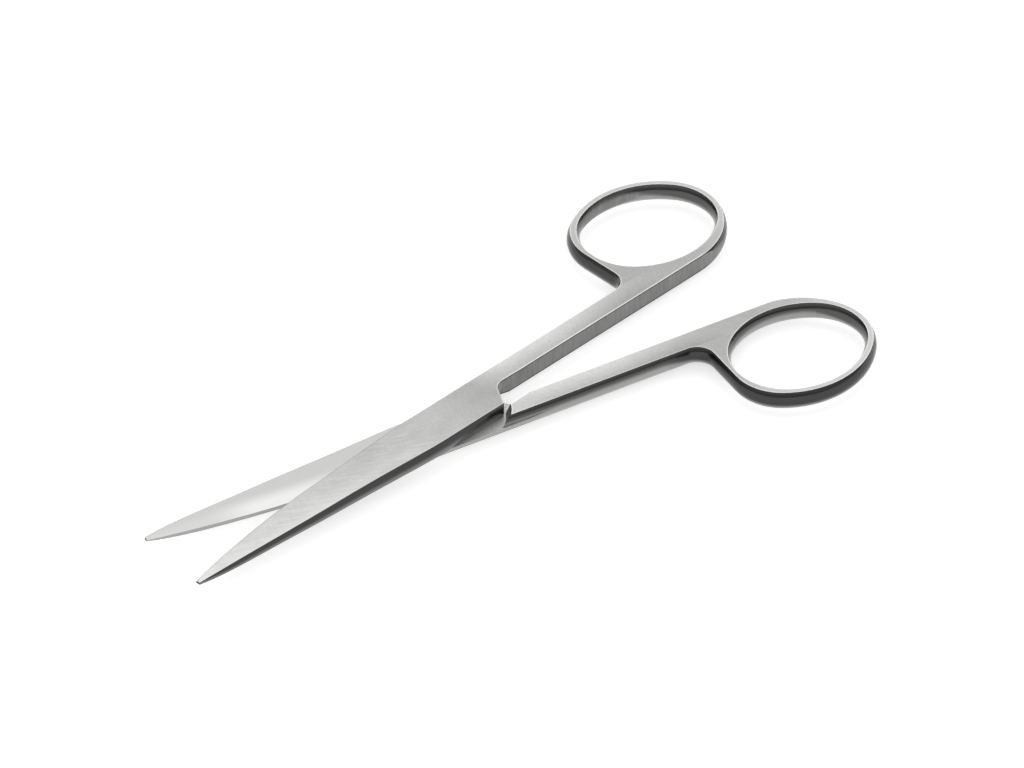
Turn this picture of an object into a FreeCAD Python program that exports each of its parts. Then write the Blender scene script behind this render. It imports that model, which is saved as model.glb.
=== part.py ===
import FreeCAD, Part
import math
import os
import Sketcher

# Dressing scissors, 13 cm, straight. Two forged halves of one shape cross at a joint screw.
# Each half is drawn in a frame of its own: X runs from the joint screw to the finger ring, Y to the side of
# the cutting edge and the ring, Z away from the shear face. The blade lies along minus X.
# The upper half is turned by half the opening. The lower half is the same forging turned over about X.
# In the finished frame the joint screw stands on the origin and Z = 0 is the surface that the part lies on.

doc = FreeCAD.newDocument("dressing_scissors")
sheet = doc.addObject("Spreadsheet::Sheet", "Sizes")

SIZES = [
    ("opening", 14.25, "angle between the halves as they lie, degrees"),
    ("shear_gap", 0.03, "running gap between the two shear faces"),
    ("thickness", 3.26, "shank and ring, from land to land"),
    ("inner_side", 1.13, "long axis to the flat closing side of the shank"),
    ("outer_side", 4.80, "long axis to the outer edge of the shank's land"),
    ("wall_swell", 0.55, "how far the rounded walls stand past the land"),
    ("wall_root", 0.45, "how far the rounded wall reaches in under the land"),
    ("shank_start", 13.5, "joint screw to where the shank has its full section"),
    ("root_x", 53.05, "centre of the finger hole's end arc at the shank, along"),
    ("root_y", 13.80, "the same, across"),
    ("root_radius", 9.60, "its radius"),
    ("far_x", 59.50, "centre of the finger hole's far end arc, along"),
    ("far_y", 12.65, "the same, across"),
    ("far_radius", 8.70, "its radius"),
    ("side_radius", 14.60, "finger hole, the two long side arcs"),
    ("ring_land", 0.90, "flat land round the finger hole"),
    ("root_land", 0.70, "the land's width at the finger hole's nearest point to the screw"),
    ("corner_radius", 8.60, "outer land, from the shank's end of the ring to its top"),
    ("heel_radius", 13.50, "outer land, from the closing side into the ring's far end"),
    ("neck_radius", 3.20, "hollow between the shank and the ring"),
    ("block_front", 5.5, "joint screw to the front of the joint block's full section"),
    ("block_back", 9.0, "joint screw to where the blade begins to narrow"),
    ("block_spine", 4.06, "long axis to the spine of the joint block"),
    ("block_edge", 5.65, "long axis to the outer side of the joint block"),
    ("block_height", 2.69, "thickness of the joint block at its spine"),
    ("edge_height", 1.10, "height of the ground bevel along the edge"),
    ("edge_bevel", 0.38, "how far that bevel leans in"),
    ("spine_swell", 0.16, "how far the spine's wall swells"),
    ("heel_at", 20.0, "joint screw to the blade's heel section"),
    ("heel_spine", 3.40, "its spine"),
    ("heel_edge", 5.10, "its edge"),
    ("heel_height", 2.58, "its thickness at the spine"),
    ("middle_at", 34.0, "joint screw to the blade's middle section"),
    ("middle_spine", 2.53, "its spine"),
    ("middle_edge", 4.30, "its edge"),
    ("middle_height", 2.17, "its thickness at the spine"),
    ("fore_at", 46.0, "joint screw to the blade's fore section"),
    ("fore_spine", 1.67, "its spine"),
    ("fore_edge", 3.05, "its edge"),
    ("fore_height", 1.73, "its thickness at the spine"),
    ("point_at", 54.5, "joint screw to the start of the point"),
    ("point_spine", 1.00, "its spine"),
    ("point_edge", 1.78, "its edge"),
    ("point_height", 1.34, "its thickness at the spine"),
    ("tip_at", 59.8, "joint screw to the tip"),
    ("tip_spine", 0.10, "spine at the tip"),
    ("tip_edge", 0.80, "edge at the tip"),
    ("tip_height", 0.50, "thickness at the tip"),
    ("block_end", 7.42, "joint screw to the slanted end of the block, on the long axis"),
    ("block_slant", 32.5, "slant of the block's end, degrees"),
    ("notch_radius", 2.80, "hollow between the block's end and the closing side"),
    ("shoulder_foot", 6.65, "joint screw to the foot of the ground shoulder"),
    ("shoulder_top", 7.60, "joint screw to the top of the ground shoulder"),
    ("shoulder_hollow", 0.05, "how far the shoulder's ramp is ground hollow"),
    ("relief_start", 11.3, "joint screw to where the shoulder's inner corner is whole"),
    ("relief_side", 2.45, "long axis to the outer end of that corner's slant"),
    ("relief_inset", 0.40, "how far inside the shoulder's top that slant ends"),
    ("screw_radius", 1.60, "joint screw, plain part"),
    ("screw_clearance", 0.05, "running clearance round the screw in the lower half"),
    ("thread_clearance", 0.02, "clearance round the screw in the upper half"),
    ("screw_depth", 1.20, "how far the screw reaches into the upper half"),
    ("end_clearance", 0.10, "clearance past the end of the screw"),
    ("head_radius", 2.30, "joint screw, head"),
    ("head_clearance", 0.08, "clearance round the head in its seat"),
    ("head_seat", 1.25, "shear plane to the seat of the head"),
    ("drive_offset", 1.30, "joint axis to each of the two pin holes for the driver"),
    ("drive_radius", 0.38, "those pin holes"),
    ("drive_depth", 0.60, "those pin holes"),
    ("screw_chamfer", 0.20, "chamfer on the rim of the head and the end of the screw"),
]

for row, (alias, number, meaning) in enumerate(SIZES, start=1):
    sheet.set(f"A{row}", alias)
    sheet.set(f"B{row}", str(number))
    sheet.set(f"C{row}", meaning)
    sheet.setAlias(f"B{row}", alias)
doc.recompute()

# Room for cuts that run past the metal, and for joins that overlap inside it.
SPARE = 4.0
OVERLAP = 0.5
# Straight lead inside the joint block, from which the blade's loft sets out.
LOFT_LEAD = 2.0
# Most of a blade section's height that the ground bevel along the edge may take.
BEVEL_SHARE = 0.7
# Half of a flat arc rises a quarter as far as the whole arc.
HALF_ARC = 0.25


def size(name):
    """Number held by one cell of the sheet."""
    return float(getattr(sheet, name))


def value(expression):
    """Number that an expression over the sheet comes to."""
    return float(doc.Sizes.evalExpression(expression.replace("Sizes.", "")))


def make_sketch(body, name, role, offset="0"):
    """Sketch on an origin plane of its own body, moved along the plane's normal by an expression."""
    sketch = body.newObject("Sketcher::SketchObject", name)
    plane = [item for item in body.Origin.OriginFeatures if item.Role == role][0]
    sketch.AttachmentSupport = [(plane, "")]
    sketch.MapMode = "FlatFace"
    sketch.setExpression(".AttachmentOffset.Base.z", offset)
    return sketch


def bind(sketch, constraint, expression):
    """Adds a measured constraint and ties it to the sheet."""
    index = sketch.addConstraint(constraint)
    sketch.setExpression(f"Constraints[{index}]", expression)


def pin_point(sketch, edge, end, x, y):
    """Ties one point of an edge to two expressions."""
    bind(sketch, Sketcher.Constraint("DistanceX", -1, 1, edge, end, value(x)), x)
    bind(sketch, Sketcher.Constraint("DistanceY", -1, 1, edge, end, value(y)), y)


def bow(start, end, rise):
    """Arc from start to end that stands off their chord by rise, to the right hand of the way."""
    along = (end - start).normalize()
    middle = (start + end) * 0.5 + FreeCAD.Vector(along.y, -along.x, 0) * rise
    return Part.Arc(start, middle, end)


def draw(sketch, corners, swells=None):
    """Closed outline, run anticlockwise. Corners are pairs of expressions.

    swells names the edges that are arcs: edge number to the expression of its rise to the outside,
    or a negative one where the arc is hollow.
    """
    swells = swells or {}
    points = [FreeCAD.Vector(value(x), value(y), 0) for x, y in corners]
    count = len(points)
    begins, ends = [1] * count, [2] * count
    for i in range(count):
        start, end = points[i], points[(i + 1) % count]
        rise = value(swells[i]) if i in swells else 0
        if rise > 0:
            sketch.addGeometry(bow(start, end, rise), False)
        elif rise < 0:
            sketch.addGeometry(bow(end, start, -rise), False)
            begins[i], ends[i] = 2, 1
        else:
            sketch.addGeometry(Part.LineSegment(start, end), False)
    for i in range(count):
        after = (i + 1) % count
        sketch.addConstraint(Sketcher.Constraint("Coincident", i, ends[i], after, begins[after]))
    for i, (x, y) in enumerate(corners):
        pin_point(sketch, i, begins[i], x, y)
    for i, rise in swells.items():
        x0, y0 = corners[i]
        x1, y1 = corners[(i + 1) % count]
        chord = f"sqrt((({x1}) - ({x0}))^2 + (({y1}) - ({y0}))^2)"
        radius = f"(({chord} / 2)^2 + ({rise})^2) / (2 * abs({rise}))"
        bind(sketch, Sketcher.Constraint("Radius", i, value(radius)), radius)


def blade_section(body, at, spine, edge, height, swell="Sizes.spine_swell"):
    """Cross section of a blade: flat shear face, bevel, outer face and rounded spine."""
    sketch = make_sketch(body, "Section", "YZ_Plane", f"-({at})")
    bevel = f"min(Sizes.edge_height; {BEVEL_SHARE} * ({height}))"
    lean = f"Sizes.edge_bevel * ({bevel}) / Sizes.edge_height"
    corners = [(f"-({spine})", "0"), (edge, "0"), (f"({edge}) - {lean}", bevel), (f"-({spine})", height)]
    draw(sketch, corners, {3: f"({swell}) * ({height}) / Sizes.block_height"})
    return sketch


def half_thickness_wall(side):
    """Expressions of the four corners of a shank's upper half at full section."""
    outer = "Sizes.outer_side + Sizes.wall_swell"
    return [(f"-({side})", "0"), (outer, "0"), ("Sizes.outer_side", "Sizes.thickness / 2"),
            (f"-({side})", "Sizes.thickness / 2")]


def add_block(body):
    """Joint block: the blade's heel section carried on past the screw, and its run into the shank."""
    section = blade_section(body, "Sizes.block_back", "Sizes.block_spine", "Sizes.block_edge",
                            "Sizes.block_height")
    pad = body.newObject("PartDesign::Pad", "Block")
    pad.Profile = section
    pad.setExpression("Length", "Sizes.block_back + Sizes.block_front")
    front = blade_section(body, "-Sizes.block_front", "Sizes.block_spine", "Sizes.block_edge",
                          "Sizes.block_height")
    shank = make_sketch(body, "ShankSection", "YZ_Plane", "Sizes.shank_start")
    swells = {1: f"Sizes.wall_swell * {HALF_ARC}", 3: "Sizes.spine_swell"}
    draw(shank, half_thickness_wall("Sizes.block_spine"), swells)
    loft = body.newObject("PartDesign::AdditiveLoft", "BlockToShank")
    loft.Profile = front
    loft.Sections = [shank]
    loft.Ruled = True


def add_blade(body):
    """Blade, from the joint block to the tip, through its cross sections."""
    stations = [
        (f"Sizes.block_back - {LOFT_LEAD}", "Sizes.block_spine", "Sizes.block_edge", "Sizes.block_height"),
        ("Sizes.block_back", "Sizes.block_spine", "Sizes.block_edge", "Sizes.block_height"),
        ("Sizes.heel_at", "Sizes.heel_spine", "Sizes.heel_edge", "Sizes.heel_height"),
        ("Sizes.middle_at", "Sizes.middle_spine", "Sizes.middle_edge", "Sizes.middle_height"),
        ("Sizes.fore_at", "Sizes.fore_spine", "Sizes.fore_edge", "Sizes.fore_height"),
        ("Sizes.point_at", "Sizes.point_spine", "Sizes.point_edge", "Sizes.point_height"),
        ("Sizes.tip_at", "Sizes.tip_spine", "Sizes.tip_edge", "Sizes.tip_height"),
    ]
    sections = [blade_section(body, *station) for station in stations]
    loft = body.newObject("PartDesign::AdditiveLoft", "Blade")
    loft.Profile = sections[0]
    loft.Sections = sections[1:]


def side_arc_centres():
    """Centres of the finger hole's two long side arcs, worked out from its end arcs."""
    root = FreeCAD.Vector(size("root_x"), size("root_y"), 0)
    far = FreeCAD.Vector(size("far_x"), size("far_y"), 0)
    axis = far - root
    span = axis.Length
    axis.normalize()
    normal = FreeCAD.Vector(-axis.y, axis.x, 0)
    to_root = size("side_radius") - size("root_radius")
    to_far = size("side_radius") - size("far_radius")
    along = (to_root ** 2 - to_far ** 2 + span ** 2) / (2 * span)
    across = math.sqrt(to_root ** 2 - along ** 2)
    upper = root + axis * along - normal * across
    lower = root + axis * along + normal * across
    return root, far, upper, lower


def circle_arc(centre, radius, start, end):
    """Arc run anticlockwise from one point to another."""
    circle = Part.Circle(centre, FreeCAD.Vector(0, 0, 1), radius)
    first = math.atan2(start.y - centre.y, start.x - centre.x)
    last = math.atan2(end.y - centre.y, end.x - centre.x)
    if last <= first:
        last += 2 * math.pi
    return Part.ArcOfCircle(circle, first, last)


def toward(centre, other, radius):
    """Point at a radius from centre, on the side of another point."""
    return centre + (other - centre).normalize() * radius


def draw_hole(sketch, first):
    """Finger hole of five tangent arcs, from its nearest point to the screw. Returns how many arcs it has."""
    root, far, upper, lower = side_arc_centres()
    start = root - FreeCAD.Vector(size("root_radius"), 0, 0)
    to_lower = toward(lower, root, size("side_radius"))
    lower_to_far = toward(lower, far, size("side_radius"))
    far_to_upper = toward(upper, far, size("side_radius"))
    to_upper = toward(upper, root, size("side_radius"))
    arcs = [
        (root, "root_radius", start, to_lower),
        (lower, "side_radius", to_lower, lower_to_far),
        (far, "far_radius", lower_to_far, far_to_upper),
        (upper, "side_radius", far_to_upper, to_upper),
        (root, "root_radius", to_upper, start),
    ]
    for centre, name, begin, end in arcs:
        sketch.addGeometry(circle_arc(centre, size(name), begin, end), False)
    last = len(arcs) - 1
    for i in range(last):
        sketch.addConstraint(Sketcher.Constraint("Tangent", first + i, 2, first + i + 1, 1))
    sketch.addConstraint(Sketcher.Constraint("Coincident", first + last, 2, first, 1))
    for i, name in ((0, "root_radius"), (1, "side_radius"), (2, "far_radius"), (3, "side_radius")):
        bind(sketch, Sketcher.Constraint("Radius", first + i, size(name)), f"Sizes.{name}")
    pin_point(sketch, first, 3, "Sizes.root_x", "Sizes.root_y")
    pin_point(sketch, first + 2, 3, "Sizes.far_x", "Sizes.far_y")
    pin_point(sketch, first + last, 3, "Sizes.root_x", "Sizes.root_y")
    sketch.addConstraint(Sketcher.Constraint("Horizontal", first, 1, first, 3))
    return len(arcs)


def draw_handle(sketch):
    """Land outline of shank and ring, with the finger hole. Returns the edges of the two rounded walls."""
    root, far, upper, lower = side_arc_centres()
    land = size("ring_land")
    outer, inner = size("outer_side"), size("inner_side")
    ring_left = "Sizes.root_x - Sizes.root_radius - Sizes.root_land"
    left = value(ring_left)
    start = FreeCAD.Vector(size("shank_start"), outer, 0)
    neck = FreeCAD.Vector(left - size("neck_radius"), outer + size("neck_radius"), 0)
    neck_in = FreeCAD.Vector(neck.x, outer, 0)
    neck_out = FreeCAD.Vector(left, neck.y, 0)
    reach = size("side_radius") + land - size("corner_radius")
    corner_x = left + size("corner_radius")
    corner = FreeCAD.Vector(corner_x, upper.y + math.sqrt(reach ** 2 - (corner_x - upper.x) ** 2), 0)
    corner_in = FreeCAD.Vector(left, corner.y, 0)
    corner_out = toward(upper, corner, size("side_radius") + land)
    top_out = toward(upper, far, size("side_radius") + land)
    drop = size("heel_radius") - size("far_radius") - land
    heel_y = inner + size("heel_radius")
    heel = FreeCAD.Vector(far.x - math.sqrt(drop ** 2 - (heel_y - far.y) ** 2), heel_y, 0)
    far_out = toward(heel, far, size("heel_radius"))
    heel_out = FreeCAD.Vector(heel.x, inner, 0)
    finish = FreeCAD.Vector(size("shank_start"), inner, 0)
    edges = [
        Part.LineSegment(start, neck_in),
        circle_arc(neck, size("neck_radius"), neck_in, neck_out),
        Part.LineSegment(neck_out, corner_in),
        circle_arc(corner, size("corner_radius"), corner_out, corner_in),
        circle_arc(upper, size("side_radius") + land, top_out, corner_out),
        circle_arc(far, size("far_radius") + land, far_out, top_out),
        circle_arc(heel, size("heel_radius"), heel_out, far_out),
        Part.LineSegment(heel_out, finish),
        Part.LineSegment(finish, start),
    ]
    sketch.addGeometry(edges, False)
    joins = [(0, 2, 1, 1), (1, 2, 2, 1), (2, 2, 3, 2), (3, 1, 4, 2), (4, 1, 5, 2), (5, 1, 6, 2), (6, 1, 7, 1)]
    for join in joins:
        sketch.addConstraint(Sketcher.Constraint("Tangent", *join))
    sketch.addConstraint(Sketcher.Constraint("Coincident", 7, 2, 8, 1))
    sketch.addConstraint(Sketcher.Constraint("Coincident", 8, 2, 0, 1))
    sketch.addConstraint(Sketcher.Constraint("Horizontal", 0))
    sketch.addConstraint(Sketcher.Constraint("Vertical", 2))
    sketch.addConstraint(Sketcher.Constraint("Horizontal", 7))
    pin_point(sketch, 0, 1, "Sizes.shank_start", "Sizes.outer_side")
    pin_point(sketch, 8, 1, "Sizes.shank_start", "Sizes.inner_side")
    bind(sketch, Sketcher.Constraint("DistanceX", -1, 1, 2, 1, left), ring_left)
    for edge, name in ((1, "neck_radius"), (3, "corner_radius"), (6, "heel_radius")):
        bind(sketch, Sketcher.Constraint("Radius", edge, size(name)), f"Sizes.{name}")
    far_land = "Sizes.far_radius + Sizes.ring_land"
    bind(sketch, Sketcher.Constraint("Radius", 5, value(far_land)), far_land)
    hole_arcs = draw_hole(sketch, len(edges))
    sketch.addConstraint(Sketcher.Constraint("Coincident", 4, 3, len(edges) + 3, 3))
    sketch.addConstraint(Sketcher.Constraint("Coincident", 5, 3, len(edges) + 2, 3))
    outside = range(1, len(joins) + 1)
    inside = range(len(edges) + 1, len(edges) + hole_arcs + 1)
    return outside, inside


def swell_profile(body, name, role, offset, start, way):
    """Section of a rounded wall: an arc on the land's full thickness. way is -1 where it swells to less."""
    sketch = make_sketch(body, name, role, offset)
    half = "Sizes.thickness / 2"
    back = f"({start}) - ({way}) * Sizes.wall_root"
    corners = [(back, f"-({half})"), (start, f"-({half})"), (start, half), (back, half)]
    if way < 0:
        corners = [corners[1], corners[0], corners[3], corners[2]]
    draw(sketch, corners, {1 if way > 0 else 3: "Sizes.wall_swell"})
    return sketch


def sweep_wall(body, name, profile, outline, edges):
    """Sweeps a rounded wall along edges of the outline, its flat back upright, along the profile's own Y."""
    pipe = body.newObject("PartDesign::AdditivePipe", name)
    pipe.Profile = profile
    pipe.Spine = (outline, [f"Edge{i}" for i in edges])
    pipe.Mode = "Binormal"
    pipe.Binormal = FreeCAD.Vector(0, 1, 0)


def add_handle(body):
    """Shank and finger ring with flat lands and rounded walls."""
    outline = make_sketch(body, "HandleOutline", "XY_Plane")
    outside_edges, inside_edges = draw_handle(outline)
    pad = body.newObject("PartDesign::Pad", "Handle")
    pad.Profile = outline
    pad.Midplane = True
    pad.setExpression("Length", "Sizes.thickness")
    doc.recompute()
    outside = swell_profile(body, "OutsideWall", "YZ_Plane", "Sizes.shank_start", "Sizes.outer_side", 1)
    sweep_wall(body, "RoundedOutside", outside, outline, outside_edges)
    hole_start = "Sizes.root_x - Sizes.root_radius"
    inside = swell_profile(body, "InsideWall", "XZ_Plane", "-Sizes.root_y", hole_start, 1)
    sweep_wall(body, "RoundedInside", inside, outline, inside_edges)


def add_shoulder(body):
    """Lower side of the shank carried on to the ground shoulder that faces the other half's block."""
    stub = make_sketch(body, "StubSection", "YZ_Plane", "Sizes.shank_start")
    half = "Sizes.thickness / 2"
    outer = "Sizes.outer_side"
    corners = [("Sizes.inner_side", f"-({half})"), (outer, f"-({half})"),
               (f"{outer} + Sizes.wall_swell", "0"), ("Sizes.inner_side", "0")]
    draw(stub, corners, {1: f"Sizes.wall_swell * {HALF_ARC}"})
    pad = body.newObject("PartDesign::Pad", "ShoulderBlank")
    pad.Profile = stub
    pad.Reversed = True
    pad.setExpression("Length", f"Sizes.shank_start - Sizes.shoulder_foot + {SPARE}")
    ramp = make_sketch(body, "ShoulderRamp", "XZ_Plane")
    corners = [("0", "0"), ("0", f"-({half}) - {SPARE}"), ("Sizes.shoulder_top", f"-({half}) - {SPARE}"),
               ("Sizes.shoulder_top", f"-({half})"), ("Sizes.shoulder_foot", "0")]
    draw(ramp, corners, {3: "-Sizes.shoulder_hollow"})
    groove = body.newObject("PartDesign::Groove", "Shoulder")
    groove.Profile = ramp
    groove.ReferenceAxis = (ramp, ["V_Axis"])
    groove.Angle = 360
    relief = make_sketch(body, "ShoulderRelief", "XY_Plane")
    below = f"Sizes.inner_side - {OVERLAP}"
    slant_end = "sqrt(Sizes.shoulder_top^2 - Sizes.relief_side^2) - Sizes.relief_inset"
    draw(relief, [("0", below), ("Sizes.relief_start", below), ("Sizes.relief_start", "Sizes.inner_side"),
                  (slant_end, "Sizes.relief_side"), ("0", "Sizes.relief_side")])
    cut_below(body, relief, "Relief")


def cut_below(body, sketch, name):
    """Cuts an outline drawn on the shear plane down through the metal below it."""
    pocket = body.newObject("PartDesign::Pocket", name)
    pocket.Profile = sketch
    pocket.Length = SPARE
    return pocket


def cut_closing_side(body):
    """Cuts the flat closing side of the shank, the hollow beside the block and the block's slanted end."""
    sketch = make_sketch(body, "ClosingSide", "XY_Plane")
    lean = "tan(Sizes.block_slant * 1 deg)"
    hollow = "Sizes.notch_radius"
    centre_y = f"Sizes.inner_side - {hollow}"
    centre_x = f"Sizes.block_end + ({centre_y}) * {lean} + {hollow} / cos(Sizes.block_slant * 1 deg)"
    touch = (f"{centre_x} - {hollow} * cos(Sizes.block_slant * 1 deg)",
             f"{centre_y} + {hollow} * sin(Sizes.block_slant * 1 deg)")
    bottom = f"-Sizes.block_spine - {SPARE}"
    far_end = f"Sizes.far_x + Sizes.far_radius + Sizes.ring_land + {SPARE}"
    corners = [(f"Sizes.block_end + ({bottom}) * {lean}", bottom), (far_end, bottom),
               (far_end, "Sizes.inner_side"), (centre_x, "Sizes.inner_side"), touch]
    rise = f"{hollow} * (1 - cos((90 deg - Sizes.block_slant * 1 deg) / 2))"
    draw(sketch, corners, {3: rise})
    pocket = body.newObject("PartDesign::Pocket", "ClosingSideCut")
    pocket.Profile = sketch
    pocket.Type = "ThroughAll"
    pocket.Midplane = True


def add_circle(sketch, edge, x, y, radius):
    """Circle whose centre and radius are expressions."""
    centre = FreeCAD.Vector(value(x), value(y), 0)
    sketch.addGeometry(Part.Circle(centre, FreeCAD.Vector(0, 0, 1), value(radius)), False)
    pin_point(sketch, edge, 3, x, y)
    bind(sketch, Sketcher.Constraint("Radius", edge, value(radius)), radius)


def cut_round(body, name, radius, start, depth):
    """Round hole about the joint's axis, cut away from the shear face between two heights."""
    sketch = make_sketch(body, name + "Circle", "XY_Plane", start)
    add_circle(sketch, 0, "0", "0", radius)
    pocket = body.newObject("PartDesign::Pocket", name)
    pocket.Profile = sketch
    pocket.Reversed = True
    pocket.setExpression("Length", depth)


def build_half(label):
    """One forged and ground half, without its hole for the screw."""
    body = doc.addObject("PartDesign::Body", label)
    body.Label = label
    add_block(body)
    add_blade(body)
    add_handle(body)
    add_shoulder(body)
    cut_closing_side(body)
    return body


upper = build_half("upper_half")
cut_round(upper, "ThreadedHole", "Sizes.screw_radius + Sizes.thread_clearance", "0",
          "Sizes.screw_depth + Sizes.end_clearance")
upper.setExpression("Placement.Base.z", "Sizes.block_height + Sizes.shear_gap")
upper.setExpression("Placement.Rotation.Angle", "Sizes.opening / 2")

lower = build_half("lower_half")
cut_round(lower, "PlainHole", "Sizes.screw_radius + Sizes.screw_clearance", "0",
          f"Sizes.block_height + {SPARE}")
cut_round(lower, "HeadSeat", "Sizes.head_radius + Sizes.head_clearance", "Sizes.head_seat",
          f"Sizes.block_height + {SPARE}")
turned_over = FreeCAD.Rotation(FreeCAD.Vector(1, 0, 0), 180)
swung = FreeCAD.Rotation(FreeCAD.Vector(0, 0, 1), -size("opening") / 2)
lower.Placement = FreeCAD.Placement(FreeCAD.Vector(0, 0, size("block_height")), swung * turned_over)


def build_screw():
    """Joint screw: a plain pin and a low head for a two-pin driver, its face level with the lower half."""
    body = doc.addObject("PartDesign::Body", "pivot_screw")
    body.Label = "pivot_screw"
    profile = make_sketch(body, "ScrewProfile", "XZ_Plane")
    seat = "Sizes.block_height - Sizes.head_seat"
    top = "Sizes.block_height + Sizes.shear_gap + Sizes.screw_depth"
    rim = "Sizes.screw_chamfer"
    draw(profile, [("0", "0"), (f"Sizes.head_radius - {rim}", "0"), ("Sizes.head_radius", rim),
                   ("Sizes.head_radius", seat), ("Sizes.screw_radius", seat),
                   ("Sizes.screw_radius", f"{top} - {rim}"),
                   (f"Sizes.screw_radius - {rim}", top), ("0", top)])
    turned = body.newObject("PartDesign::Revolution", "TurnedScrew")
    turned.Profile = profile
    turned.ReferenceAxis = (profile, ["V_Axis"])
    turned.Angle = 360
    holes = make_sketch(body, "DriveHoles", "XY_Plane")
    for i, side in enumerate(("", "-")):
        add_circle(holes, i, "0", f"{side}Sizes.drive_offset", "Sizes.drive_radius")
    pocket = body.newObject("PartDesign::Pocket", "DriveHolePair")
    pocket.Profile = holes
    pocket.Reversed = True
    pocket.setExpression("Length", "Sizes.drive_depth")
    return body


screw = build_screw()
doc.recompute()

faults = [item.Name for item in doc.Objects if "Invalid" in item.State or "Error" in item.State]
for item in (upper, lower, screw):
    if item.Shape.isNull() or not item.Shape.isValid() or len(item.Shape.Solids) != 1:
        faults.append(item.Label)
if faults:
    raise RuntimeError("failed objects: " + ", ".join(faults))

os.makedirs("parts", exist_ok=True)
for item in (upper, lower, screw):
    item.Shape.exportStep(f"parts/{item.Label}.step")
    box = item.Shape.BoundBox
    print(item.Label, "volume", round(item.Shape.Volume, 2), "box", box)
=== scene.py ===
"""Dressing scissors: steel finishes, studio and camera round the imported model.

Every length is in metres. A half's own frame has X from the joint screw to the finger ring, Y to the side of
the cutting edge and the ring, and Z away from the shear face, as the forging is drawn.
"""

import logging
import math
from abc import ABC, abstractmethod
from dataclasses import dataclass
from enum import Enum
from functools import partial, reduce
from typing import Sequence, Union

import bpy
from mathutils import Matrix, Vector

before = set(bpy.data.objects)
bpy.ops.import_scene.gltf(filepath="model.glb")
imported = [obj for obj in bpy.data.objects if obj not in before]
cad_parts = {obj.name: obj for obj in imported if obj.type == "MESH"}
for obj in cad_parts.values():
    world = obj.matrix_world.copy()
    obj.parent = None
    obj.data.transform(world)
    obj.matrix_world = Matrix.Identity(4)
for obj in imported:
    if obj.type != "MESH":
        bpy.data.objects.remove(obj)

LOG = logging.getLogger("scissors")
MM = 0.001

Color = tuple[float, float, float]
Place = tuple[float, float, float]
Pair = tuple[float, float]
Socket = bpy.types.NodeSocket
Value = Union[float, Socket]


class Half(Enum):
    """The two halves, by the name of their node and body."""

    UPPER = "upper_half"
    LOWER = "lower_half"


@dataclass(frozen=True)
class Band:
    """Part of an input's range, and the two outputs that it runs between.

    Attributes:
        low: input that gives start.
        high: input that gives end, above or below low.
        start: output at low.
        end: output at high.
        smooth: eases both ends.
    """

    low: float
    high: float
    start: float = 0.0
    end: float = 1.0
    smooth: bool = True


@dataclass(frozen=True)
class Grain:
    """Size and direction of one noise.

    Attributes:
        lengths: length of the grain along the turned X, Y and Z.
        turn_deg: turn of the grain about Z.
        detail: octaves.
        rough: share of the finer octaves.
    """

    lengths: Place
    turn_deg: float = 0.0
    detail: float = 2.0
    rough: float = 0.6


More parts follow.
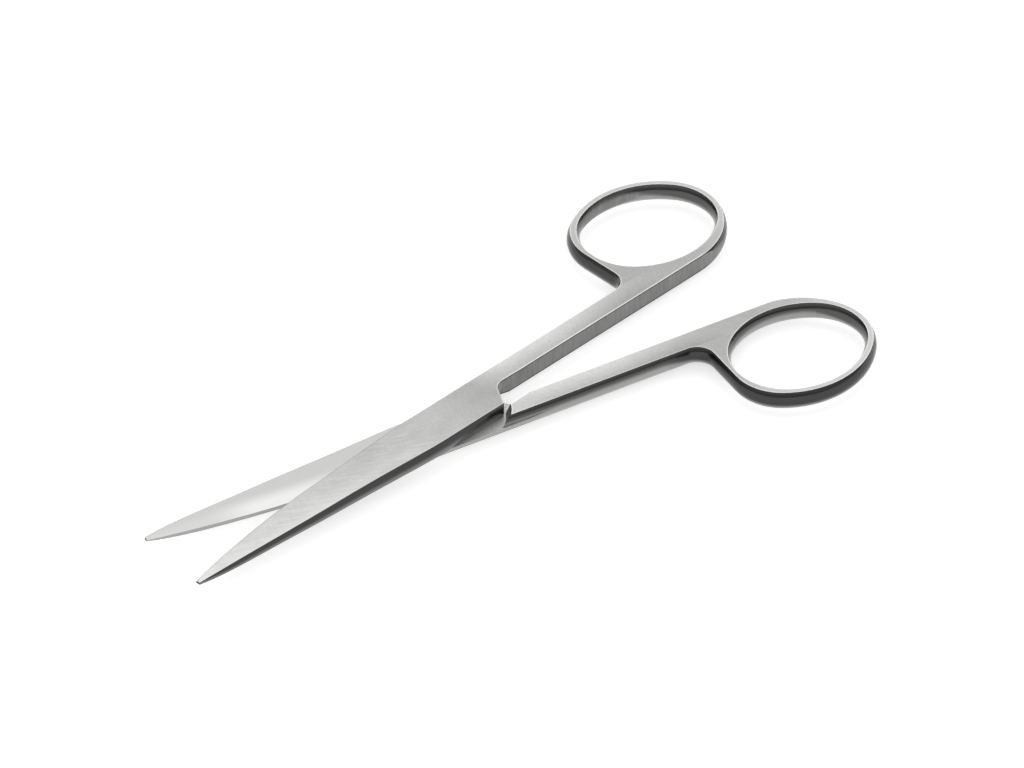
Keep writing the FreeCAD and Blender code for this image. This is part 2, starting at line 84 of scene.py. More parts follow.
class NodeGraph:
    """Short calls that add and join the nodes of one material or world."""

    def __init__(self, tree: bpy.types.NodeTree) -> None:
        """Empties the tree.

        Args:
            tree: node tree of a material or a world.
        """
        self.tree = tree
        tree.nodes.clear()

    def node(self, kind: str, **settings: object) -> bpy.types.Node:
        """Adds one node.

        Args:
            kind: Blender's name of the node type.
            settings: attributes to set on the node.

        Returns:
            The new node.
        """
        made = self.tree.nodes.new(kind)
        for name, setting in settings.items():
            setattr(made, name, setting)
        return made

    def put(self, socket: Socket, value: Union[Value, Sequence[float]]) -> None:
        """Links a socket to another, or sets its own value.

        Args:
            socket: input socket.
            value: output socket, number or vector.
        """
        if isinstance(value, bpy.types.NodeSocket):
            self.tree.links.new(value, socket)
        else:
            socket.default_value = value

    def math(self, operation: str, first: Value, second: Value = 0.0) -> Socket:
        """Adds a Math node and returns its result.

        Args:
            operation: name of the operation.
            first: first operand.
            second: second operand, where the operation has one.

        Returns:
            The node's output.
        """
        made = self.node("ShaderNodeMath", operation=operation)
        self.put(made.inputs[0], first)
        self.put(made.inputs[1], second)
        return made.outputs[0]

    def product(self, *parts: Value) -> Socket:
        """Multiplies two or more values."""
        return reduce(partial(self.math, "MULTIPLY"), parts)

    def total(self, *parts: Value) -> Socket:
        """Adds up two or more values."""
        return reduce(partial(self.math, "ADD"), parts)

    def vector(self, operation: str, first: Union[Place, Socket], second: Union[Place, Socket]) -> Socket:
        """Adds a Vector Math node and returns its result.

        Args:
            operation: name of the operation.
            first: first vector.
            second: second vector.

        Returns:
            The node's number for a distance or a dot product, or else its vector.
        """
        made = self.node("ShaderNodeVectorMath", operation=operation)
        self.put(made.inputs[0], first)
        self.put(made.inputs[1], second)
        return made.outputs["Value" if operation in ("DISTANCE", "DOT_PRODUCT") else "Vector"]

    def split(self, vector: Socket) -> tuple[Socket, Socket, Socket]:
        """Parts X, Y and Z of a vector.

        Args:
            vector: output socket of a vector.

        Returns:
            The three numbers.
        """
        made = self.node("ShaderNodeSeparateXYZ")
        self.put(made.inputs[0], vector)
        return made.outputs["X"], made.outputs["Y"], made.outputs["Z"]

    def ramp(self, value: Value, band: Band) -> Socket:
        """Maps a value from one range to another and keeps it inside.

        Args:
            value: input.
            band: the two ranges.

        Returns:
            The mapped value.
        """
        kind = "SMOOTHSTEP" if band.smooth else "LINEAR"
        made = self.node("ShaderNodeMapRange", interpolation_type=kind)
        names = ("Value", "From Min", "From Max", "To Min", "To Max")
        for name, setting in zip(names, (value, band.low, band.high, band.start, band.end)):
            self.put(made.inputs[name], setting)
        return made.outputs["Result"]

    def noise(self, place: Socket, grain: Grain) -> Socket:
        """Noise whose grain has one length along each axis, turned about Z.

        Args:
            place: coordinates in metres.
            grain: size and direction of the noise.

        Returns:
            Noise between 0 and 1.
        """
        scaled = self.node("ShaderNodeMapping", vector_type="TEXTURE")
        self.put(scaled.inputs["Vector"], place)
        scaled.inputs["Rotation"].default_value = (0.0, 0.0, math.radians(grain.turn_deg))
        scaled.inputs["Scale"].default_value = grain.lengths
        made = self.node("ShaderNodeTexNoise", noise_dimensions="3D")
        self.put(made.inputs["Vector"], scaled.outputs[0])
        made.inputs["Scale"].default_value = 1.0
        made.inputs["Detail"].default_value = grain.detail
        made.inputs["Roughness"].default_value = grain.rough
        return made.outputs["Fac"]

    def mix(self, share: Value, first: Value, second: Value) -> Socket:
        """Blends two numbers.

        Args:
            share: 0 for the first, 1 for the second.
            first: first number.
            second: second number.

        Returns:
            The blend.
        """
        made = self.node("ShaderNodeMix", data_type="FLOAT")
        for socket, value in zip((made.inputs[0], made.inputs[2], made.inputs[3]), (share, first, second)):
            self.put(socket, value)
        return made.outputs[0]

    def metal(self, color: Union[Socket, Sequence[float]], rough: Value, bump: bpy.types.Node) -> Socket:
        """Adds a bare metal.

        Args:
            color: colour of the metal, with its alpha where it isn't a socket.
            rough: roughness.
            bump: Bump node with the tool marks.

        Returns:
            The shader.
        """
        shader = self.node("ShaderNodeBsdfPrincipled")
        self.put(shader.inputs["Base Color"], color)
        shader.inputs["Metallic"].default_value = 1.0
        self.put(shader.inputs["Roughness"], rough)
        self.put(shader.inputs["Normal"], bump.outputs[0])
        return shader.outputs[0]

    def bump(self, height: Socket, strength: float, distance: float) -> bpy.types.Node:
        """Adds a Bump node.

        Args:
            height: height of the marks.
            strength: share of the bump that shows.
            distance: length in metres that a height of 1 stands for.

        Returns:
            The node.
        """
        made = self.node("ShaderNodeBump")
        made.inputs["Strength"].default_value = strength
        made.inputs["Distance"].default_value = distance
        self.put(made.inputs["Height"], height)
        return made

    def output(self, kind: str, shader: Socket) -> None:
        """Adds the output node of the tree.

        Args:
            kind: Blender's name of the output's type.
            shader: what the surface shows.
        """
        self.put(self.node(kind).inputs["Surface"], shader)


def new_material(name: str) -> tuple[bpy.types.Material, NodeGraph]:
    """Makes a material with an empty node tree.

    Args:
        name: name of the material.

    Returns:
        The material and its nodes.
    """
    material = bpy.data.materials.new(name)
    material.use_nodes = True
    return material, NodeGraph(material.node_tree)


@dataclass(frozen=True)
class Forging:
    """Lengths of a half as the solids have them, and where its surfaces change.

    Attributes:
        opening_deg: angle between the halves at rest.
        block_height: height of the joint block above the shear face.
        shear_gap: gap between the two shear faces.
        thickness: thickness of the shank.
        neck: middle of the neck before the ring.
        hole_centre: middle of the finger hole.
    """

    opening_deg: float = 14.25
    block_height: float = 2.69 * MM
    shear_gap: float = 0.03 * MM
    thickness: float = 3.26 * MM
    neck: Place = (48 * MM, 3 * MM, 0.0)
    hole_centre: Place = (55.8 * MM, 13.2 * MM, 0.0)


FORGING = Forging()


class SteelPoint:
    """Shaded point of a half, in the half's own frame, with the parts it belongs to and the marks on it.

    The bands say at which place, slope or height each part lies, and the grains are those of the marks.
    """

    FLAT = Band(0.80, 0.97)
    INWARD = Band(-0.80, -0.93)
    SHANK = Band(8 * MM, 10 * MM)
    BLADE = Band(-6 * MM, -12 * MM)
    BLOCK_FRONT = Band(8.6 * MM, 8.4 * MM)
    BLOCK_BACK = Band(-10 * MM, -6 * MM)
    LEVEL_WITH_SHEAR = Band(0.15 * MM, 0.05 * MM)
    OFF_SHEAR = Band(0.1 * MM, 0.3 * MM)

    SPECK = Grain((0.45 * MM, 0.22 * MM, 0.3 * MM), turn_deg=20.0)
    CLOUD = Grain((7 * MM, 4 * MM, 7 * MM))
    SCRATCH = Grain((3.5 * MM, 0.25 * MM, 1 * MM), turn_deg=62.0)
    HATCH = Grain((4 * MM, 0.5 * MM, 1 * MM), turn_deg=-38.0, detail=3.0)
    GRIND = Grain((0.42 * MM, 1 * MM, 5 * MM), detail=3.0, rough=0.65)
    STROKES = Grain((4 * MM, 1.5 * MM, 0.2 * MM), detail=3.0)

    def __init__(self, graph: NodeGraph, half: Half) -> None:
        """Adds the nodes that all finishes share.

        Args:
            graph: the material's nodes.
            half: which half is dressed.
        """
        self.graph = graph
        source = graph.node("ShaderNodeTexCoord")
        self.upward = graph.split(source.outputs["Normal"])[2]
        self.place, self.normal = self.own_frame(source, half)
        self.along, self.across, self.height = graph.split(self.place)
        self.face_along, self.face_across, self.face_out = graph.split(self.normal)
        self.from_shear = graph.math("ABSOLUTE", self.height)
        self.flat = graph.ramp(graph.math("ABSOLUTE", self.face_out), self.FLAT)
        self.inward = graph.ramp(self.face_across, self.INWARD)
        self.shank = graph.ramp(self.along, self.SHANK)
        self.blade = graph.ramp(self.along, self.BLADE)
        self.block = graph.product(graph.ramp(self.along, self.BLOCK_FRONT),
                                   graph.ramp(self.along, self.BLOCK_BACK))
        self.shear = graph.product(graph.ramp(self.from_shear, self.LEVEL_WITH_SHEAR), self.flat)
        self.off_shear = graph.ramp(self.from_shear, self.OFF_SHEAR)
        self.speck = graph.noise(self.place, self.SPECK)
        self.cloud = graph.noise(self.place, self.CLOUD)
        self.scratch = graph.noise(self.place, self.SCRATCH)
        self.hatch = graph.noise(self.place, self.HATCH)
        self.grind = graph.noise(self.place, self.GRIND)
        self.strokes = graph.noise(self.place, self.STROKES)

    def own_frame(self, source: bpy.types.Node, half: Half) -> tuple[Socket, Socket]:
        """Turns Object coordinates and the object's normal into the half's own frame.

        Args:
            source: Texture Coordinate node.
            half: which half is dressed.

        Returns:
            Place in metres and unit normal, both in the half's frame.
        """
        lower = half is Half.LOWER
        shift = FORGING.block_height if lower else -FORGING.block_height - FORGING.shear_gap
        turn = (math.pi if lower else 0.0, 0.0, -math.radians(FORGING.opening_deg / 2))
        place = self.graph.node("ShaderNodeMapping", vector_type="POINT")
        place.inputs["Location"].default_value = (0.0, 0.0, shift)
        normal = self.graph.node("ShaderNodeMapping", vector_type="VECTOR")
        for made, name in ((place, "Object"), (normal, "Normal")):
            self.graph.put(made.inputs["Vector"], source.outputs[name])
            made.inputs["Rotation"].default_value = turn
        return place.outputs[0], normal.outputs[0]


@dataclass(frozen=True)
class Zone:
    """Share of a surface that one finish takes, with that finish's brightness and roughness.

    Attributes:
        share: mask between 0 and 1.
        level: grey of the bare metal.
        rough: roughness.
        relief: height of the tool marks, in metres.
    """

    share: Value
    level: Value
    rough: Value
    relief: Value


class FinishAndPaintedLight(ABC):
    """One layer of the steel, and where it lies: a finish, and in some layers painted light and shade."""

    @abstractmethod
    def zone(self, at: SteelPoint) -> Zone:
        """Works out where the finish lies and how it looks.

        Args:
            at: the shaded point.

        Returns:
            The finish's zone.
        """


@dataclass(frozen=True)
class Wall(FinishAndPaintedLight):
    """Rounded wall with strokes, its grey painted as light and shade: painted shade where it faces up
    towards the land, and a lighter painted reflection of the floor where it faces down.

    Attributes:
        level: grey of the wall.
        ring: where along the half the ring begins.
        far_end: how far a hole's wall faces back to the joint.
        outer_lift: how much more than its slope a ring's outer wall counts as turned up, which deepens its
            painted shade.
        hole_lift: the same for the finger hole's wall.
        far_end_lift: the same at the far end of the finger hole.
        shank_least: share of the level in the painted shade on the shank's wall.
        outer_least: the same on a ring's outer wall.
        hole_least: the same on the finger hole's wall.
        shade_to_reflection: slope at which the painted shade turns into the painted reflection of the floor.
        reflection_most: share of the level in the painted reflection.
        foot: painted reflection, gain low on the wall, where it turns down.
        brow: painted highlight, gain high on the wall, next to the land.
        near_hole: distance from the hole's middle to a wall round it.
        facing_hole: how far a wall faces the hole's middle.
        strokes: change by the strokes.
        rough: roughness, by the patches.
        depth: height of the strokes.
    """

    level: float = 0.36
    ring: Band = Band(34 * MM, 42 * MM)
    far_end: Band = Band(-0.35, -0.97)
    outer_lift: float = 0.48
    hole_lift: float = 0.06
    far_end_lift: float = 0.40
    shank_least: float = 0.22
    outer_least: float = 0.16
    hole_least: float = 0.26
    shade_to_reflection: Band = Band(0.30, -0.10)
    reflection_most: float = 0.90
    foot: Band = Band(-0.20, -0.55, 0.0, 0.35)
    brow: Band = Band(0.38, 0.56, 0.0, 0.08)
    near_hole: Band = Band(14.5 * MM, 13 * MM)
    facing_hole: Band = Band(-1 * MM, 1 * MM)
    strokes: Pair = (0.86, 1.12)
    rough: Pair = (0.17, 0.24)
    depth: float = 0.003 * MM

    def zone(self, at: SteelPoint) -> Zone:
        """Covers the whole piece with the wall's grey and its painted light and shade.

        Args:
            at: the shaded point.

        Returns:
            The finish's zone.
        """
        graph = at.graph
        ring = graph.ramp(at.along, self.ring)
        in_hole = self.in_finger_hole(at)
        hole_lift = graph.mix(graph.ramp(at.face_along, self.far_end), self.hole_lift, self.far_end_lift)
        lift = graph.mix(in_hole, self.outer_lift, hole_lift)
        # Painted light and shade: darker where the wall faces up as the scissors lie, lighter as a painted
        # reflection of the floor where it faces down; ring walls count as facing up further.
        tilt = graph.total(at.upward, graph.product(ring, lift))
        least = graph.mix(ring, self.shank_least, graph.mix(in_hole, self.outer_least, self.hole_least))
        bright = graph.mix(graph.ramp(tilt, self.shade_to_reflection), least, self.reflection_most)
        bright = graph.total(bright, graph.ramp(tilt, self.foot), graph.ramp(at.upward, self.brow))
        level = graph.product(graph.mix(at.strokes, *self.strokes), bright, self.level)
        return Zone(1.0, level, graph.mix(at.cloud, *self.rough), graph.product(at.strokes, self.depth))

    def in_finger_hole(self, at: SteelPoint) -> Socket:
        """Finds the wall that stands round the finger hole and faces its middle.

        Args:
            at: the shaded point.

        Returns:
            Mask between 0 and 1.
        """
        graph = at.graph
        away = graph.vector("DISTANCE", FORGING.hole_centre, at.place)
        inwards = graph.vector("SUBTRACT", FORGING.hole_centre, at.place)
        facing = graph.vector("DOT_PRODUCT", inwards, at.normal)
        return graph.product(graph.ramp(away, self.near_hole), graph.ramp(facing, self.facing_hole))


@dataclass(frozen=True)
class Land(FinishAndPaintedLight):
    """Satin land, ground slightly hollow, darker near the neck, with fine specks and faint scratches.

    Attributes:
        level: grey along the half, of the shank and of the block.
        neck: darkening near the neck, by the distance from it.
        specks: change by the specks.
        scratches: change by the scratches.
        patches: change by the patches.
        hollow_middle: place of the hollow's lowest line across the shank.
        hollow_half: distance from that line in which the hollow rises by its depth.
        hollow_most: how many depths it rises at most.
        hollow_depth: depth of the hollow.
        hollow_front: where the hollow begins.
        hollow_end: where it runs out before the ring.
        rough: roughness, by the patches.
        depth: height of the specks.
    """

    level: Band = Band(5 * MM, -5 * MM, 0.60, 0.72)
    neck: Band = Band(6 * MM, 24 * MM, 0.76, 1.0)
    specks: Pair = (0.83, 1.17)
    scratches: Pair = (-0.09, 0.09)
    patches: Pair = (-0.09, 0.09)
    hollow_middle: float = 3 * MM
    hollow_half: float = 1.8 * MM
    hollow_most: float = 1.2
    hollow_depth: float = 0.10 * MM
    hollow_front: Band = Band(6 * MM, 15 * MM)
    hollow_end: Band = Band(49 * MM, 38 * MM)
    rough: Pair = (0.30, 0.40)
    depth: float = 0.006 * MM

    def zone(self, at: SteelPoint) -> Zone:
        """Covers every flat face with the land's finish.

        Args:
            at: the shaded point.

        Returns:
            The finish's zone.
        """
        graph = at.graph
        neck_darkening = graph.ramp(graph.vector("DISTANCE", at.place, FORGING.neck), self.neck)
        shade = graph.total(graph.mix(at.speck, *self.specks), graph.mix(at.scratch, *self.scratches),
                            graph.mix(at.cloud, *self.patches))
        level = graph.product(shade, neck_darkening, graph.ramp(at.along, self.level))
        relief = graph.total(self.hollow(at), graph.product(at.speck, self.depth))
        return Zone(at.flat, level, graph.mix(at.cloud, *self.rough), relief)

    def hollow(self, at: SteelPoint) -> Socket:
        """Rises from the shank's middle line to both edges, as after a grinding wheel.

        Args:
            at: the shaded point.

        Returns:
            Height in metres, 0 off the shank.
        """
        graph = at.graph
        side = graph.math("DIVIDE", graph.math("SUBTRACT", at.across, self.hollow_middle), self.hollow_half)
        rise = graph.math("MINIMUM", graph.product(side, side), self.hollow_most)
        reach = graph.product(graph.ramp(at.along, self.hollow_front), graph.ramp(at.along, self.hollow_end))
        return graph.product(rise, self.hollow_depth, reach)


@dataclass(frozen=True)
class Blade(FinishAndPaintedLight):
    """Flat outside of the blade, ground with crossed strokes, with a painted sheen that lightens it towards
    the spine and the point.

    Attributes:
        level: grey of the blade.
        hatch: change by the crossed strokes.
        scratches: change by the scratches.
        patches: change by the patches.
        to_point: painted sheen, gain towards the point.
        to_spine: painted sheen, gain towards the spine.
        rough: roughness, by the patches.
        depth: height of the crossed strokes.
    """

    level: float = 0.74
    hatch: Pair = (0.80, 1.20)
    scratches: Pair = (-0.10, 0.10)
    patches: Pair = (-0.12, 0.12)
    to_point: Band = Band(-12 * MM, -36 * MM, 0.0, 0.13)
    to_spine: Band = Band(1.5 * MM, -2.5 * MM, 0.0, 0.12)
    rough: Pair = (0.26, 0.36)
    depth: float = 0.006 * MM

    def zone(self, at: SteelPoint) -> Zone:
        """Covers the blade's flat faces.

        Args:
            at: the shaded point.

        Returns:
            The finish's zone.
        """
        graph = at.graph
        # The gains towards the point and the spine are a painted sheen.
        shade = graph.total(graph.mix(at.hatch, *self.hatch), graph.mix(at.scratch, *self.scratches),
                            graph.mix(at.cloud, *self.patches), graph.ramp(at.along, self.to_point),
                            graph.ramp(at.across, self.to_spine))
        level = graph.product(shade, self.level)
        relief = graph.product(at.hatch, self.depth)
        return Zone(graph.product(at.flat, at.blade), level, graph.mix(at.cloud, *self.rough), relief)


@dataclass(frozen=True)
class ShearFace(FinishAndPaintedLight):
    """Finely ground shear face of the blade, with a painted sheen that is brightest beside the cutting edge.

    Attributes:
        level: grey of the face.
        middle: line along the blade from which the gain is measured.
        to_edge: painted sheen, gain from that line to the cutting edge.
        from_point: how much of the gain there is near the point.
        least: share of the level without the gain.
        specks: change by the specks.
        rough: roughness.
        depth: height of the specks.
    """

    level: float = 0.60
    middle: Band = Band(-20 * MM, -60 * MM, 1.2 * MM, -0.6 * MM)
    to_edge: Band = Band(-1.2 * MM, 2 * MM, 0.0, 0.36)
    from_point: Band = Band(-50 * MM, -40 * MM, 0.25, 1.0)
    least: float = 0.92
    specks: Pair = (0.96, 1.04)
    rough: float = 0.24
    depth: float = 0.002 * MM

    def zone(self, at: SteelPoint) -> Zone:
        """Covers the blade's inner face.

        Args:
            at: the shaded point.

        Returns:
            The finish's zone.
        """
        graph = at.graph
        # Painted sheen that brightens the face beside the cutting edge.
        side = graph.math("SUBTRACT", at.across, graph.ramp(at.along, self.middle))
        gain = graph.product(graph.ramp(side, self.to_edge), graph.ramp(at.along, self.from_point))
        level = graph.product(graph.total(gain, self.least), graph.mix(at.speck, *self.specks), self.level)
        relief = graph.product(at.speck, self.depth)
        return Zone(graph.product(at.shear, at.blade), level, self.rough, relief)


@dataclass(frozen=True)
class Seat(FinishAndPaintedLight):
    """Rough-ground seat of the joint on the shear face.

    Attributes:
        level: grey of the seat.
        specks: change by the specks.
        rough: roughness, by the patches.
        depth: height of the specks.
    """

    level: float = 0.62
    specks: Pair = (0.55, 1.45)
    rough: Pair = (0.50, 0.60)
    depth: float = 0.02 * MM

    def zone(self, at: SteelPoint) -> Zone:
        """Covers the shear face at the joint.

        Args:
            at: the shaded point.

        Returns:
            The finish's zone.
        """
        graph = at.graph
        level = graph.product(graph.mix(at.speck, *self.specks), self.level)
        relief = graph.product(at.speck, self.depth)
        return Zone(graph.product(at.shear, at.block), level, graph.mix(at.cloud, *self.rough), relief)


@dataclass(frozen=True)
class Rim(FinishAndPaintedLight):
    """Rim of an outer flat face with a painted highlight, and a painted shadow line along the cutting edge.

    Attributes:
        reach: radius within which an edge is felt.
        samples: samples of the Bevel node.
        tilt: likeness of the rounded normal and the true one, from the face's middle to its edge.
        cutting: where across the blade the cutting edge lies.
        bright: grey of the rim.
        dark: grey along the cutting edge.
        rough: roughness.
    """

    reach: float = 0.60 * MM
    samples: int = 8
    tilt: Band = Band(0.985, 0.90)
    cutting: Band = Band(0.2 * MM, 0.6 * MM)
    # bright: grey of the rim's painted highlight.
    bright: float = 1.0
    # dark: grey of the painted shadow along the cutting edge.
    dark: float = 0.42
    rough: float = 0.22

    def zone(self, at: SteelPoint) -> Zone:
        """Covers the flat faces within a hair of their edges.

        Args:
            at: the shaded point.

        Returns:
            The finish's zone.
        """
        graph = at.graph
        rounded = graph.node("ShaderNodeBevel", samples=self.samples)
        rounded.inputs["Radius"].default_value = self.reach
        true_normal = graph.node("ShaderNodeNewGeometry").outputs["Normal"]
        likeness = graph.vector("DOT_PRODUCT", rounded.outputs[0], true_normal)
        # Painted highlight along the edges of the outer faces, and a painted shadow along the cutting edge.
        share = graph.product(at.flat, at.off_shear, graph.ramp(likeness, self.tilt))
        cutting = graph.product(at.blade, graph.ramp(at.across, self.cutting))
        return Zone(share, graph.mix(cutting, self.bright, self.dark), self.rough, 0.0)


@dataclass(frozen=True)
class Spine(FinishAndPaintedLight):
    """Spine wall of blade and block, painted dark as shade, darkest high up next to the outer face and
    lighter towards the shear face as a painted reflection of the floor.

    Attributes:
        level: grey of the wall.
        full: height of the wall along the blade, as a share of the block's.
        fade: painted shade and reflection, change with the height on the wall.
        block_end: least change where the block ends, a painted lift that lightens the wall there.
        strokes: change by the strokes.
        rough: roughness.
        depth: height of the strokes.
    """

    level: float = 0.12
    full: Band = Band(-54 * MM, -9 * MM, 0.5, 1.0, smooth=False)
    fade: Band = Band(0.60, 0.08, 0.42, 1.7)
    block_end: Band = Band(0.5 * MM, 4 * MM, 0.0, 1.5)
    strokes: Pair = (0.85, 1.15)
    rough: float = 0.24
    depth: float = 0.003 * MM

    def zone(self, at: SteelPoint) -> Zone:
        """Covers the walls on the closing side, from the block to the blade's point.

        Args:
            at: the shaded point.

        Returns:
            The finish's zone.
        """
        graph = at.graph
        # Painted shade high on the wall, lighter as a painted reflection towards the shear face, and lifted
        # near the block's end.
        full = graph.product(graph.ramp(at.along, self.full), FORGING.block_height)
        fade = graph.ramp(graph.math("DIVIDE", at.height, full), self.fade)
        fade = graph.math("MAXIMUM", fade, graph.ramp(at.along, self.block_end))
        level = graph.product(fade, graph.mix(at.strokes, *self.strokes), self.level)
        share = graph.product(at.inward, graph.math("SUBTRACT", 1.0, at.shank))
        return Zone(share, level, self.rough, graph.product(at.strokes, self.depth))


@dataclass(frozen=True)
class ClosingSide(FinishAndPaintedLight):
    """Flat closing side of the shank, ground across, painted dark as shade, with a painted shade line under
    each land's edge.

    Attributes:
        level: grey of the side.
        line: painted shade line, change with the depth under the land.
        grinding: change by the grinding marks.
        patches: change by the patches.
        rough: roughness.
        depth: height of the grinding marks.
    """

    level: float = 0.21
    line: Band = Band(0.10 * MM, 0.34 * MM, 0.30, 1.0)
    grinding: Pair = (0.50, 1.46)
    patches: Pair = (0.84, 1.16)
    rough: float = 0.38
    depth: float = 0.010 * MM

    def zone(self, at: SteelPoint) -> Zone:
        """Covers the walls on the closing side, along the shank.

        Args:
            at: the shaded point.

        Returns:
            The finish's zone.
        """
        graph = at.graph
        # Painted shade: the side's dark grey and the darker line just under the land's edge.
        under_land = graph.math("SUBTRACT", FORGING.thickness / 2, at.from_shear)
        level = graph.product(graph.mix(at.grind, *self.grinding), graph.mix(at.cloud, *self.patches),
                              graph.ramp(under_land, self.line), self.level)
        relief = graph.product(at.grind, self.depth)
        return Zone(graph.product(at.inward, at.shank), level, self.rough, relief)


@dataclass(frozen=True)
class Shoulder(FinishAndPaintedLight):
    """Ground ramp that faces the other half's block, with marks up its slope.

    Attributes:
        level: grey of the ramp.
        gentlest: slope at which the ramp begins.
        steepest: slope at which it ends.
        straight: how far a face may turn across the half.
        grinding: change by the grinding marks.
        rough: roughness.
        depth: height of the grinding marks.
    """

    level: float = 0.36
    gentlest: Band = Band(-0.30, -0.40)
    steepest: Band = Band(-0.70, -0.60)
    straight: Band = Band(0.40, 0.20)
    grinding: Pair = (0.6, 1.5)
    rough: float = 0.34
    depth: float = 0.012 * MM

    def zone(self, at: SteelPoint) -> Zone:
        """Covers the slanted face in front of the joint.

        Args:
            at: the shaded point.

        Returns:
            The finish's zone.
        """
        graph = at.graph
        share = graph.product(graph.ramp(at.face_out, self.gentlest), graph.ramp(at.face_out, self.steepest),
                              graph.ramp(at.face_across, self.straight), at.block)
        level = graph.product(graph.mix(at.grind, *self.grinding), self.level)
        return Zone(share, level, self.rough, graph.product(at.grind, self.depth))


@dataclass(frozen=True)
class Tip(FinishAndPaintedLight):
    """Blunt end of the blade's point, painted dark as shade.

    Attributes:
        level: grey of the end's painted shade.
        facing: how far a face looks away from the ring.
        rough: roughness.
    """

    level: float = 0.06
    facing: Band = Band(-0.60, -0.85)
    rough: float = 0.4

    def zone(self, at: SteelPoint) -> Zone:
        """Covers the faces of the blade that look away from the ring.

        Args:
            at: the shaded point.

        Returns:
            The finish's zone.
        """
        # The blunt end is painted dark as shade.
        share = at.graph.product(at.blade, at.graph.ramp(at.face_along, self.facing))
        return Zone(share, self.level, self.rough, 0.0)


@dataclass(frozen=True)
class ForgedSteel:
    """Steel of a scissors half, from its layers of finish and of painted light and shade, laid over each
    other.

    Attributes:
        half: which half is dressed.
        finishes_and_painted_light: the layers from the bottom up, the first under all the rest, some of them
            painted light and shade.
        tint: share of the grey level in red, green and blue.
    """

    half: Half
    finishes_and_painted_light: tuple[FinishAndPaintedLight, ...] = (Wall(), Land(), Blade(), ShearFace(), Seat(), Rim(), Spine(),
                                    ClosingSide(), Shoulder(), Tip())
    tint: Color = (1.0, 1.0, 0.985)

    def build(self) -> bpy.types.Material:
        """Makes the material.

        Returns:
            A material that reads the piece's Object coordinates, turned into the half's own frame.
        """
        material, graph = new_material(f"steel_{self.half.value}")
        at = SteelPoint(graph, self.half)
        base, *upper = [finish.zone(at) for finish in self.finishes_and_painted_light]
        level, rough, relief = base.level, base.rough, base.relief
        for zone in upper:
            level = graph.mix(zone.share, level, zone.level)
            rough = graph.mix(zone.share, rough, zone.rough)
            relief = graph.mix(zone.share, relief, zone.relief)
        color = graph.node("ShaderNodeCombineColor")
        for name, share in zip(("Red", "Green", "Blue"), self.tint):
            graph.put(color.inputs[name], graph.product(level, share))
        bump = graph.bump(relief, strength=1.0, distance=1.0)
        graph.output("ShaderNodeOutputMaterial", graph.metal(color.outputs[0], rough, bump))
        return material


@dataclass(frozen=True)
class TurnedSteel:
    """Turned and polished finish of the joint screw: fine rings about its axis.

    Attributes:
        color: colour of the metal.
        rough: roughness on and between the rings.
        wave_scale: scale of the Wave texture, for rings about 0.12 mm apart.
        distortion: waver of the rings.
        strength: share of the bump that shows.
        depth: height of the rings.
    """

    color: Color = (0.62, 0.62, 0.62)
    rough: Pair = (0.28, 0.38)
    wave_scale: float = 2500.0
    distortion: float = 0.6
    strength: float = 0.2
    depth: float = 0.01 * MM

    def build(self) -> bpy.types.Material:
        """Makes the material.

        Returns:
            A material with fine rings about the Z axis.
        """
        material, graph = new_material("turned_steel")
        waves = graph.node("ShaderNodeTexWave", wave_type="RINGS", rings_direction="Z")
        graph.put(waves.inputs["Vector"], graph.node("ShaderNodeTexCoord").outputs["Object"])
        waves.inputs["Scale"].default_value = self.wave_scale
        waves.inputs["Distortion"].default_value = self.distortion
        rings = waves.outputs["Fac"]
        bump = graph.bump(rings, self.strength, self.depth)
        shader = graph.metal((*self.color, 1.0), graph.mix(rings, *self.rough), bump)
        graph.output("ShaderNodeOutputMaterial", shader)
        return material


class Scissors:
    """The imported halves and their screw, dressed in steel."""

    SCREW = "pivot_screw"

    def build(self) -> None:
        """Dresses every node of the frame."""
        for half in Half:
            self.dress(half.value, ForgedSteel(half).build())
        self.dress(self.SCREW, TurnedSteel().build())

    def dress(self, node: str, material: bpy.types.Material) -> None:
        """Gives one node its material.

        Args:
            node: name of the node.
            material: its finish.
        """
        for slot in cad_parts[node].material_slots:
            slot.material = material
        LOG.info("dressed %s", node)


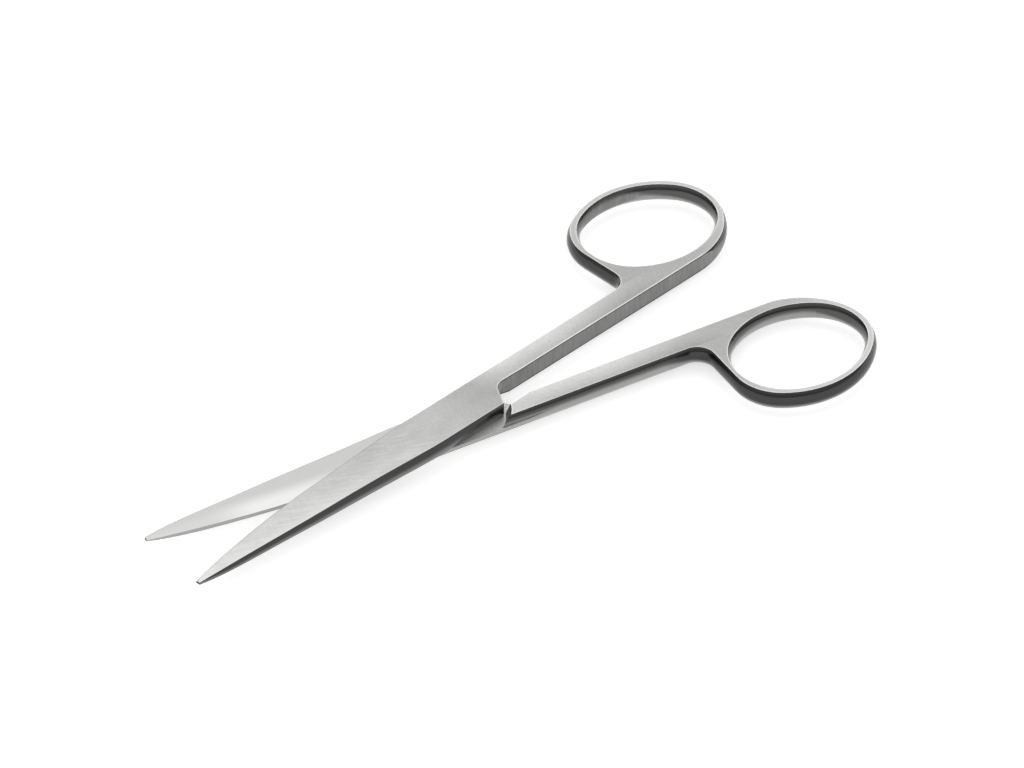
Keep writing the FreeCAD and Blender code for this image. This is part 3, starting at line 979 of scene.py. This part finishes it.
@dataclass(frozen=True)
class PhotoCamera:
    """Camera worked out from the photograph: long lens, looking down on the scissors as they lie.

    Attributes:
        elevation_deg: angle of the view above the ground.
        bisector_deg: turn of the scissors' middle line in the view.
        distance: distance from the camera to the joint, along the way it looks.
        pivot_right: place of the joint to the right of the view's middle.
        pivot_up: place of the joint above the view's middle.
        pivot_height: height of the joint's middle above the ground.
        focal_pixels: focal length in pixels of the photograph.
        image_width: width of the photograph in pixels.
        sensor: width of the sensor in millimetres.
        clip: nearest and farthest distance that is drawn.
    """

    elevation_deg: float = 39.374
    bisector_deg: float = 37.582
    distance: float = 1655.09 * MM
    pivot_right: float = -7.632 * MM
    pivot_up: float = -5.498 * MM
    pivot_height: float = 2.705 * MM
    focal_pixels: float = 10120.2
    image_width: float = 1024.0
    sensor: float = 36.0
    clip: Pair = (0.05, 20.0)

    def turn(self) -> Matrix:
        """Turn about Z from the scissors' middle line to the view."""
        return Matrix.Rotation(-math.radians(self.bisector_deg), 3, "Z")

    def axes(self) -> tuple[Vector, Vector, Vector]:
        """Directions of the picture's right, its up and the way the camera looks.

        Returns:
            Three unit vectors.
        """
        high = math.radians(self.elevation_deg)
        right = self.turn() @ Vector((1.0, 0.0, 0.0))
        up = self.turn() @ Vector((0.0, math.sin(high), math.cos(high)))
        forward = self.turn() @ Vector((0.0, math.cos(high), -math.sin(high)))
        return right, up, forward

    def away(self) -> Vector:
        """Level direction from the camera past the scissors, as a unit vector."""
        return self.turn() @ Vector((0.0, 1.0, 0.0))

    def build(self) -> None:
        """Makes the camera and gives it to the scene."""
        lens = bpy.data.cameras.new("photo_camera")
        lens.sensor_width = self.sensor
        lens.lens = self.focal_pixels / self.image_width * self.sensor
        lens.clip_start, lens.clip_end = self.clip
        camera = bpy.data.objects.new("photo_camera", lens)
        bpy.context.scene.collection.objects.link(camera)
        right, up, forward = self.axes()
        place = Vector((0.0, 0.0, self.pivot_height))
        place -= right * self.pivot_right + up * self.pivot_up + forward * self.distance
        facing = Matrix((right, up, -forward)).transposed()
        camera.matrix_world = Matrix.Translation(place) @ facing.to_4x4()
        bpy.context.scene.camera = camera


CAMERA = PhotoCamera()


@dataclass(frozen=True)
class Studio:
    """Pale floor under a soft dome of light, brightest overhead, with one large lamp.

    Attributes:
        floor_size: side of the square floor.
        floor_color: grey of the floor.
        floor_glow: light of its own that the floor shows to the camera and in mirrors.
        dome: strength of the dome by the height of its direction.
        lamp_size: width and depth of the lamp.
        lamp_power: power of the lamp in watts.
        lamp_away: level distance of the lamp past the scissors.
        lamp_height: height of the lamp.
    """

    floor_size: float = 6.0
    floor_color: float = 0.80
    floor_glow: float = 0.50
    dome: Band = Band(0.0, 0.70, 0.35, 1.14, smooth=False)
    lamp_size: Pair = (1.2, 0.8)
    lamp_power: float = 1.5
    lamp_away: float = 0.5
    lamp_height: float = 0.9

    def build(self) -> None:
        """Makes the floor, the world and the lamp."""
        self.floor()
        self.world()
        self.lamp()

    def floor(self) -> None:
        """Makes a square floor under the scissors, white to the camera and with their shadow on it."""
        half = self.floor_size / 2
        corners = [(-half, -half, 0.0), (half, -half, 0.0), (half, half, 0.0), (-half, half, 0.0)]
        mesh = bpy.data.meshes.new("floor")
        mesh.from_pydata(corners, [], [(0, 1, 2, 3)])
        piece = bpy.data.objects.new("floor", mesh)
        bpy.context.scene.collection.objects.link(piece)
        mesh.materials.append(self.floor_material())

    def floor_material(self) -> bpy.types.Material:
        """Makes the floor's material.

        Returns:
            A matt grey with a light of its own for the camera, for mirrors and through glass.
        """
        material, graph = new_material("floor")
        path = graph.node("ShaderNodeLightPath")
        diffuse = graph.node("ShaderNodeBsdfDiffuse")
        diffuse.inputs["Color"].default_value = (*[self.floor_color] * 3, 1.0)
        glow = graph.node("ShaderNodeEmission")
        seen = path.outputs["Is Camera Ray"]
        for ray in ("Is Glossy Ray", "Is Transmission Ray"):
            seen = graph.math("MAXIMUM", seen, path.outputs[ray])
        graph.put(glow.inputs["Strength"], graph.product(seen, self.floor_glow))
        both = graph.node("ShaderNodeAddShader")
        graph.put(both.inputs[0], diffuse.outputs[0])
        graph.put(both.inputs[1], glow.outputs[0])
        graph.output("ShaderNodeOutputMaterial", both.outputs[0])
        return material

    def world(self) -> None:
        """Makes a dome of light that grows from the horizon upwards, the same from every side."""
        world = bpy.data.worlds.new("studio")
        world.use_nodes = True
        bpy.context.scene.world = world
        graph = NodeGraph(world.node_tree)
        height = graph.split(graph.node("ShaderNodeTexCoord").outputs["Generated"])[2]
        background = graph.node("ShaderNodeBackground")
        graph.put(background.inputs["Strength"], graph.ramp(height, self.dome))
        graph.output("ShaderNodeOutputWorld", background.outputs[0])

    def lamp(self) -> None:
        """Hangs one large soft lamp above and behind the scissors."""
        light = bpy.data.lights.new("softbox", "AREA")
        light.shape = "RECTANGLE"
        light.size, light.size_y = self.lamp_size
        light.energy = self.lamp_power
        holder = bpy.data.objects.new("softbox", light)
        bpy.context.scene.collection.objects.link(holder)
        holder.location = CAMERA.away() * self.lamp_away + Vector((0.0, 0.0, self.lamp_height))
        holder.rotation_euler = (-holder.location).to_track_quat("-Z", "Y").to_euler()


def main() -> None:
    """Builds the scene in order and reports each piece."""
    logging.basicConfig(level=logging.INFO, format="%(name)s: %(message)s")
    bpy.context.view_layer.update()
    Scissors().build()
    Studio().build()
    CAMERA.build()
    view = bpy.context.scene.view_settings
    view.view_transform = "Standard"


if __name__ == "__main__":
    main()
